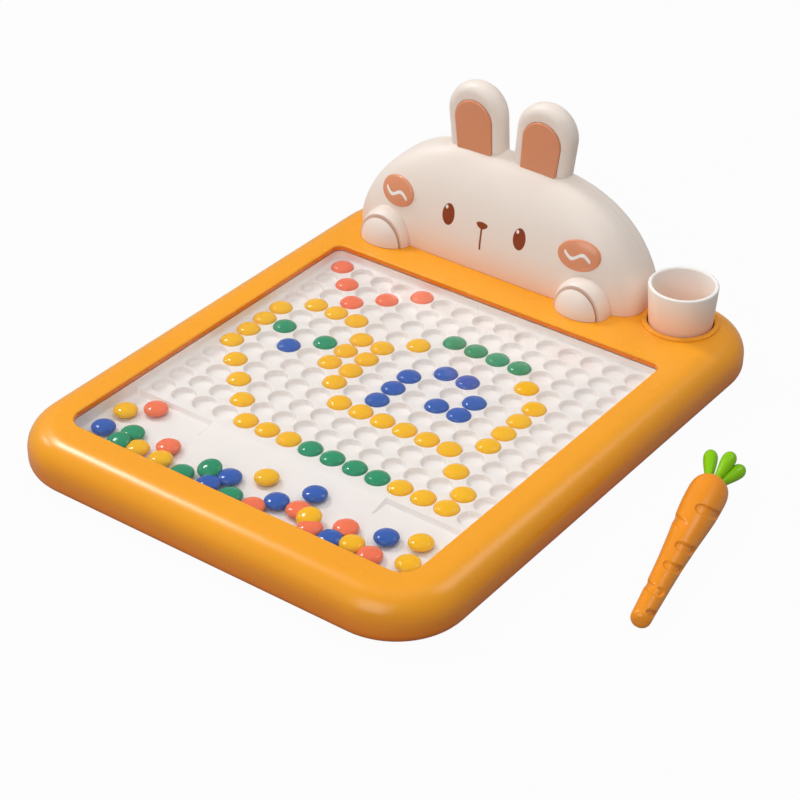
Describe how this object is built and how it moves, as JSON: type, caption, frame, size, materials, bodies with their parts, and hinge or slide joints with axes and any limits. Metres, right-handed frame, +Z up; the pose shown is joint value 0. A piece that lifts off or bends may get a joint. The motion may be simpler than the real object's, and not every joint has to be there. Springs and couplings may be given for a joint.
{
  "type": "magnetic drawing board",
  "caption": "Child's magnetic bead drawing board with a rabbit head on the back deck, a lift-out cup and a carrot shaped magnet pen.",
  "frame": {"origin": "centre of the flat underside, on the surface that the board lies on", "axes": "+Z up, +Y towards the back edge with the rabbit head, +X to the right as the user faces the board, towards the cup and the pen"},
  "size_m": [0.3456, 0.343, 0.1286],
  "materials": {
    "frame_orange": "satin moulded",
    "tray_white": "fine matte moulded",
    "clear_plastic": "clear polished plastic sheet",
    "head_cream": "satin moulded",
    "insert_peach": "glossy moulded",
    "screw_steel": "plain",
    "pen_orange": "satin moulded",
    "leaf_green": "glossy moulded",
    "bead_yellow": "glossy moulded",
    "bead_green": "glossy moulded",
    "bead_blue": "glossy moulded",
    "bead_coral": "glossy moulded"
  },
  "bodies": {
    "board": {"top_frame": "frame_orange", "bottom_cover": "frame_orange", "bead_tray": "tray_white", "clear_sheet": "clear_plastic", "head_front": "head_cream", "head_back": "head_cream", "ear_left": "head_cream", "ear_right": "head_cream", "ear_panel_left": "insert_peach", "ear_panel_right": "insert_peach", "cheek_left": "insert_peach", "cheek_right": "insert_peach", "paw_left": "head_cream", "paw_right": "head_cream", "cover_screw_1": "screw_steel", "cover_screw_2": "screw_steel", "cover_screw_3": "screw_steel", "cover_screw_4": "screw_steel", "cover_screw_5": "screw_steel", "cover_screw_6": "screw_steel", "cover_screw_7": "screw_steel", "cover_screw_8": "screw_steel", "head_screw_1": "screw_steel", "head_screw_2": "screw_steel", "rear_screw_1": "screw_steel", "rear_screw_2": "screw_steel"},
    "cup": {"cup": "head_cream"},
    "pen": {"pen_body": "pen_orange", "pen_tip_cap": "pen_orange", "pen_magnet": "screw_steel", "pen_leaves": "leaf_green"},
    "bead_r0_c4_body": {"bead_r0_c4": "bead_yellow"},
    "bead_r0_c5_body": {"bead_r0_c5": "bead_yellow"},
    "bead_r0_c6_body": {"bead_r0_c6": "bead_yellow"},
    "bead_r0_c7_body": {"bead_r0_c7": "bead_green"},
    "bead_r0_c8_body": {"bead_r0_c8": "bead_green"},
    "bead_r0_c9_body": {"bead_r0_c9": "bead_green"},
    "bead_r0_c10_body": {"bead_r0_c10": "bead_green"},
    "bead_r0_c11_body": {"bead_r0_c11": "bead_yellow"},
    "bead_r0_c12_body": {"bead_r0_c12": "bead_yellow"},
    "bead_r0_c13_body": {"bead_r0_c13": "bead_yellow"},
    "bead_r1_c3_body": {"bead_r1_c3": "bead_yellow"},
    "bead_r1_c13_body": {"bead_r1_c13": "bead_yellow"},
    "bead_r2_c2_body": {"bead_r2_c2": "bead_yellow"},
    "bead_r2_c12_body": {"bead_r2_c12": "bead_yellow"},
    "bead_r3_c1_body": {"bead_r3_c1": "bead_yellow"},
    "bead_r3_c6_body": {"bead_r3_c6": "bead_yellow"},
    "bead_r3_c7_body": {"bead_r3_c7": "bead_yellow"},
    "bead_r3_c8_body": {"bead_r3_c8": "bead_yellow"},
    "bead_r3_c9_body": {"bead_r3_c9": "bead_yellow"},
    "bead_r3_c10_body": {"bead_r3_c10": "bead_yellow"},
    "bead_r3_c11_body": {"bead_r3_c11": "bead_yellow"},
    "loose_bead_1_body": {"loose_bead_1": "bead_yellow"},
    "loose_bead_2_body": {"loose_bead_2": "bead_coral"},
    "loose_bead_3_body": {"loose_bead_3": "bead_blue"},
    "loose_bead_4_body": {"loose_bead_4": "bead_green"},
    "loose_bead_5_body": {"loose_bead_5": "bead_coral"},
    "loose_bead_6_body": {"loose_bead_6": "bead_yellow"}
  },
  "joints": [
    {"name": "cup_lift", "type": "slide", "parent": "board", "child": "cup", "axis": [0, 0, 1], "range_m": [0, 0.03]},
    {"name": "pen_lift", "type": "slide", "parent": "board", "child": "pen", "axis": [0, 0, 1], "range_m": [0, 0.05]},
    {"name": "bead_r0_c4_hop", "type": "slide", "parent": "board", "child": "bead_r0_c4_body", "axis": [0, 0, 1], "range_m": [0, 0.0014]},
    {"name": "bead_r0_c5_hop", "type": "slide", "parent": "board", "child": "bead_r0_c5_body", "axis": [0, 0, 1], "range_m": [0, 0.0014]},
    {"name": "bead_r0_c6_hop", "type": "slide", "parent": "board", "child": "bead_r0_c6_body", "axis": [0, 0, 1], "range_m": [0, 0.0014]},
    {"name": "bead_r0_c7_hop", "type": "slide", "parent": "board", "child": "bead_r0_c7_body", "axis": [0, 0, 1], "range_m": [0, 0.0014]},
    {"name": "bead_r0_c8_hop", "type": "slide", "parent": "board", "child": "bead_r0_c8_body", "axis": [0, 0, 1], "range_m": [0, 0.0014]},
    {"name": "bead_r0_c9_hop", "type": "slide", "parent": "board", "child": "bead_r0_c9_body", "axis": [0, 0, 1], "range_m": [0, 0.0014]},
    {"name": "bead_r0_c10_hop", "type": "slide", "parent": "board", "child": "bead_r0_c10_body", "axis": [0, 0, 1], "range_m": [0, 0.0014]},
    {"name": "bead_r0_c11_hop", "type": "slide", "parent": "board", "child": "bead_r0_c11_body", "axis": [0, 0, 1], "range_m": [0, 0.0014]},
    {"name": "bead_r0_c12_hop", "type": "slide", "parent": "board", "child": "bead_r0_c12_body", "axis": [0, 0, 1], "range_m": [0, 0.0014]},
    {"name": "bead_r0_c13_hop", "type": "slide", "parent": "board", "child": "bead_r0_c13_body", "axis": [0, 0, 1], "range_m": [0, 0.0014]},
    {"name": "bead_r1_c3_hop", "type": "slide", "parent": "board", "child": "bead_r1_c3_body", "axis": [0, 0, 1], "range_m": [0, 0.0014]},
    {"name": "bead_r1_c13_hop", "type": "slide", "parent": "board", "child": "bead_r1_c13_body", "axis": [0, 0, 1], "range_m": [0, 0.0014]},
    {"name": "bead_r2_c2_hop", "type": "slide", "parent": "board", "child": "bead_r2_c2_body", "axis": [0, 0, 1], "range_m": [0, 0.0014]},
    {"name": "bead_r2_c12_hop", "type": "slide", "parent": "board", "child": "bead_r2_c12_body", "axis": [0, 0, 1], "range_m": [0, 0.0014]},
    {"name": "bead_r3_c1_hop", "type": "slide", "parent": "board", "child": "bead_r3_c1_body", "axis": [0, 0, 1], "range_m": [0, 0.0014]},
    {"name": "bead_r3_c6_hop", "type": "slide", "parent": "board", "child": "bead_r3_c6_body", "axis": [0, 0, 1], "range_m": [0, 0.0014]},
    {"name": "bead_r3_c7_hop", "type": "slide", "parent": "board", "child": "bead_r3_c7_body", "axis": [0, 0, 1], "range_m": [0, 0.0014]},
    {"name": "bead_r3_c8_hop", "type": "slide", "parent": "board", "child": "bead_r3_c8_body", "axis": [0, 0, 1], "range_m": [0, 0.0014]},
    {"name": "bead_r3_c9_hop", "type": "slide", "parent": "board", "child": "bead_r3_c9_body", "axis": [0, 0, 1], "range_m": [0, 0.0014]},
    {"name": "bead_r3_c10_hop", "type": "slide", "parent": "board", "child": "bead_r3_c10_body", "axis": [0, 0, 1], "range_m": [0, 0.0014]},
    {"name": "bead_r3_c11_hop", "type": "slide", "parent": "board", "child": "bead_r3_c11_body", "axis": [0, 0, 1], "range_m": [0, 0.0014]},
    {"name": "loose_bead_1_hop", "type": "slide", "parent": "board", "child": "loose_bead_1_body", "axis": [0, 0, 1], "range_m": [0, 0.0016]},
    {"name": "loose_bead_2_hop", "type": "slide", "parent": "board", "child": "loose_bead_2_body", "axis": [0, 0, 1], "range_m": [0, 0.0016]},
    {"name": "loose_bead_3_hop", "type": "slide", "parent": "board", "child": "loose_bead_3_body", "axis": [0, 0, 1], "range_m": [0, 0.0016]},
    {"name": "loose_bead_4_hop", "type": "slide", "parent": "board", "child": "loose_bead_4_body", "axis": [0, 0, 1], "range_m": [0, 0.0016]},
    {"name": "loose_bead_5_hop", "type": "slide", "parent": "board", "child": "loose_bead_5_body", "axis": [0, 0, 1], "range_m": [0, 0.0016]},
    {"name": "loose_bead_6_hop", "type": "slide", "parent": "board", "child": "loose_bead_6_body", "axis": [0, 0, 1], "range_m": [0, 0.0016]}
  ]
}
